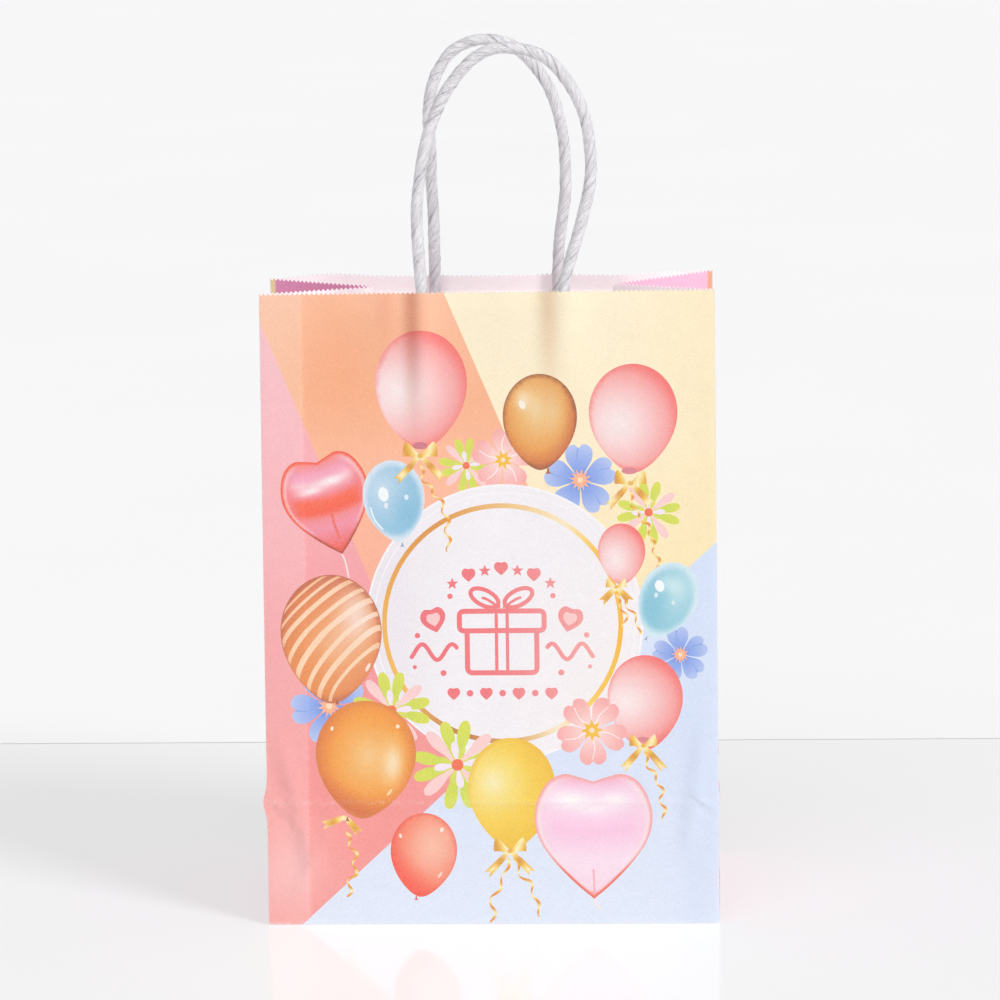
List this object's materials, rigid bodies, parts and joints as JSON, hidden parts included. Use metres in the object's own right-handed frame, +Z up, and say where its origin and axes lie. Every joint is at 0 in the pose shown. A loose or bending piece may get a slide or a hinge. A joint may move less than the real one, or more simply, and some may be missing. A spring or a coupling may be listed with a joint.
{
  "type": "paper gift bag",
  "caption": "Small upright paper gift bag with a printed front and back, tucked side gussets, a folded base, a zigzag mouth and twisted paper handles.",
  "frame": {"origin": "centre of the base, on the surface the bag stands on", "axes": "+Z up, front face towards -Y, +X to the right as seen from the front"},
  "size_m": [0.15, 0.08, 0.2903],
  "materials": {
    "printed_paper": "satin",
    "gusset_print": "satin",
    "base_print": "satin",
    "lining_paper": "matte",
    "patch_paper": "matte",
    "handle_cord": "matte"
  },
  "bodies": {
    "base": {"base_outer_flap": "base_print", "base_inner_flap": "lining_paper", "base_left_tuck": "lining_paper", "base_right_tuck": "lining_paper", "left_gusset_foot": "gusset_print", "right_gusset_foot": "gusset_print"},
    "front_panel": {"front_panel": "printed_paper", "glue_lap": "lining_paper", "front_patch_outer": "patch_paper", "front_patch_inner": "patch_paper", "front_handle_legs": "handle_cord"},
    "back_panel": {"back_panel": "printed_paper", "back_patch_outer": "patch_paper", "back_patch_inner": "patch_paper", "back_handle_legs": "handle_cord"},
    "left_gusset_front": {"left_gusset_front": "gusset_print"},
    "left_gusset_back": {"left_gusset_back": "gusset_print"},
    "right_gusset_front": {"right_gusset_front": "gusset_print"},
    "right_gusset_back": {"right_gusset_back": "gusset_print"},
    "front_handle": {"front_handle": "handle_cord"},
    "back_handle": {"back_handle": "handle_cord"}
  },
  "joints": [
    {"name": "mouth_front", "type": "hinge", "parent": "base", "child": "front_panel", "pos_m": [0, -0.04, 0], "axis": [1, 0, 0], "range_deg": [-1.5, 6]},
    {"name": "mouth_back", "type": "hinge", "parent": "base", "child": "back_panel", "pos_m": [0, 0.04, 0], "axis": [-1, 0, 0], "range_deg": [-1.5, 6]},
    {"name": "left_gusset_front_fold", "type": "hinge", "parent": "front_panel", "child": "left_gusset_front", "pos_m": [-0.075, -0.04, 0], "axis": [-0.6762, -0.7357, 0.0386], "range_deg": [-2.23, 8.87], "deforming": ["left_gusset_front"]},
    {"name": "left_gusset_back_fold", "type": "hinge", "parent": "back_panel", "child": "left_gusset_back", "pos_m": [-0.075, 0.04, 0], "axis": [0.6762, -0.7357, -0.0386], "range_deg": [-2.23, 8.87], "deforming": ["left_gusset_back"]},
    {"name": "right_gusset_front_fold", "type": "hinge", "parent": "front_panel", "child": "right_gusset_front", "pos_m": [0.075, -0.04, 0], "axis": [-0.6762, 0.7357, -0.0386], "range_deg": [-2.23, 8.87], "deforming": ["right_gusset_front"]},
    {"name": "right_gusset_back_fold", "type": "hinge", "parent": "back_panel", "child": "right_gusset_back", "pos_m": [0.075, 0.04, 0], "axis": [0.6762, 0.7357, 0.0386], "range_deg": [-2.23, 8.87], "deforming": ["right_gusset_back"]},
    {"name": "front_handle_bend", "type": "hinge", "parent": "front_panel", "child": "front_handle", "pos_m": [0, -0.01525, 0.21016], "axis": [1, 0, 0], "range_deg": [-4, 70]},
    {"name": "back_handle_bend", "type": "hinge", "parent": "back_panel", "child": "back_handle", "pos_m": [0, 0.01525, 0.21016], "axis": [-1, 0, 0], "range_deg": [-4, 70]}
  ],
  "couplings": [
    {"joint": "mouth_back", "follows": "mouth_front", "ratio": 1},
    {"joint": "left_gusset_front_fold", "follows": "mouth_front", "ratio": 1.4773},
    {"joint": "left_gusset_back_fold", "follows": "mouth_front", "ratio": 1.4773},
    {"joint": "right_gusset_front_fold", "follows": "mouth_front", "ratio": 1.4773},
    {"joint": "right_gusset_back_fold", "follows": "mouth_front", "ratio": 1.4773}
  ]
}
